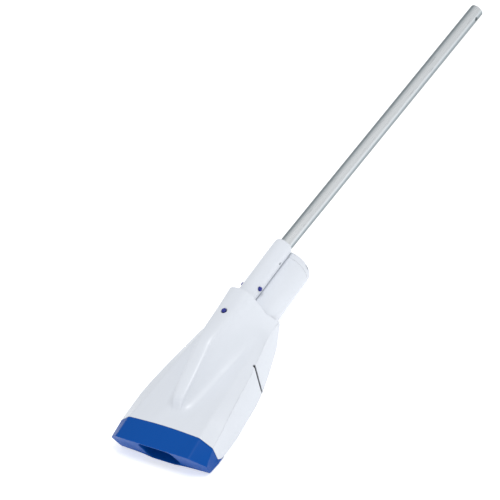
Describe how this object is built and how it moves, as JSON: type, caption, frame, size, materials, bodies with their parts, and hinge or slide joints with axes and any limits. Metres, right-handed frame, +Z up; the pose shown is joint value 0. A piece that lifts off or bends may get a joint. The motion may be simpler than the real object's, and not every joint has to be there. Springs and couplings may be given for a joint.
{
  "type": "hand-held pool vacuum head",
  "caption": "Pool vacuum head with a wide flared debris chamber, a push-on suction nozzle, a motor cylinder with a turning end cap, and a tubular pole in a socket above it.",
  "frame": {"origin": "on the floor, on the centreline, under the top front edge of the nozzle", "axes": "+X to the right, +Y back along the motor unit towards the pole, +Z up"},
  "size_m": [0.243, 1.3136, 0.142],
  "materials": {
    "white_plastic": "satin moulded",
    "blue_plastic": "satin moulded",
    "dark_blue_plastic": "smooth",
    "inner_plastic": "fine texture",
    "rubber": "matt",
    "steel": "satin",
    "pole_aluminium": "drawn, satin anodised",
    "brass": "satin",
    "filter_net": "woven mesh",
    "cell_wrap": "shrink film",
    "board": "solder mask",
    "lead_wire": "insulated wire",
    "flap_rubber": "matt"
  },
  "bodies": {
    "motor_unit": {"motor_housing": "white_plastic", "intake_cover": "inner_plastic", "nose_seal": "rubber", "filter_hoop": "dark_blue_plastic", "filter_bag": "filter_net", "shaft_seal": "rubber", "motor_can": "steel", "motor_screws": "steel", "battery_cells": "cell_wrap", "cell_carrier_front": "inner_plastic", "cell_carrier_rear": "inner_plastic", "control_board": "board", "motor_leads": "lead_wire", "pole_tube": "pole_aluminium", "clip_spring": "steel"},
    "chamber": {"upper_shell": "white_plastic", "lower_shell": "white_plastic", "shell_screws": "steel", "chamber_bulkhead": "inner_plastic", "lever_pin": "steel", "lever_spring": "steel"},
    "nozzle": {"nozzle": "blue_plastic", "nozzle_skirt_seal": "rubber", "flap_pin": "steel"},
    "flap": {"inlet_flap": "flap_rubber"},
    "lever": {"release_lever": "inner_plastic", "release_button": "dark_blue_plastic"},
    "rotor": {"impeller": "inner_plastic", "motor_shaft": "steel"},
    "end_cap": {"end_cap": "white_plastic", "end_cap_seal": "rubber", "charge_contacts": "brass"},
    "power_button": {"power_button": "dark_blue_plastic"},
    "clip_left": {"clip_button_left": "dark_blue_plastic"},
    "clip_right": {"clip_button_right": "dark_blue_plastic"}
  },
  "joints": [
    {"name": "chamber_slide", "type": "slide", "parent": "motor_unit", "child": "chamber", "axis": [0, -1, 0], "range_m": [0, 0.3]},
    {"name": "nozzle_slide", "type": "slide", "parent": "chamber", "child": "nozzle", "axis": [0, -1, 0], "range_m": [0, 0.05]},
    {"name": "flap_swing", "type": "hinge", "parent": "nozzle", "child": "flap", "pos_m": [0, 0.0589, 0.0555], "axis": [1, 0, 0], "range_deg": [0, 65]},
    {"name": "lever_press", "type": "hinge", "parent": "chamber", "child": "lever", "pos_m": [0, 0.338, 0.1332], "axis": [1, 0, 0], "range_deg": [0, 6], "deforming": ["lever_spring"]},
    {"name": "impeller_spin", "type": "hinge", "parent": "motor_unit", "child": "rotor", "pos_m": [0, 0.245, 0.0495], "axis": [0, 1, 0], "continuous": true},
    {"name": "cap_twist", "type": "hinge", "parent": "motor_unit", "child": "end_cap", "pos_m": [0, 0.532, 0.0495], "axis": [0, 1, 0], "range_deg": [0, 45]},
    {"name": "power_press", "type": "slide", "parent": "end_cap", "child": "power_button", "axis": [0, -1, 0], "range_m": [0, 0.0015]},
    {"name": "clip_right_press", "type": "slide", "parent": "motor_unit", "child": "clip_right", "axis": [-1, 0, 0], "range_m": [0, 0.0104], "deforming": ["clip_spring"]},
    {"name": "clip_left_press", "type": "slide", "parent": "motor_unit", "child": "clip_left", "axis": [1, 0, 0], "range_m": [0, 0.0104]}
  ],
  "couplings": [
    {"joint": "clip_left_press", "follows": "clip_right_press", "ratio": 1}
  ]
}
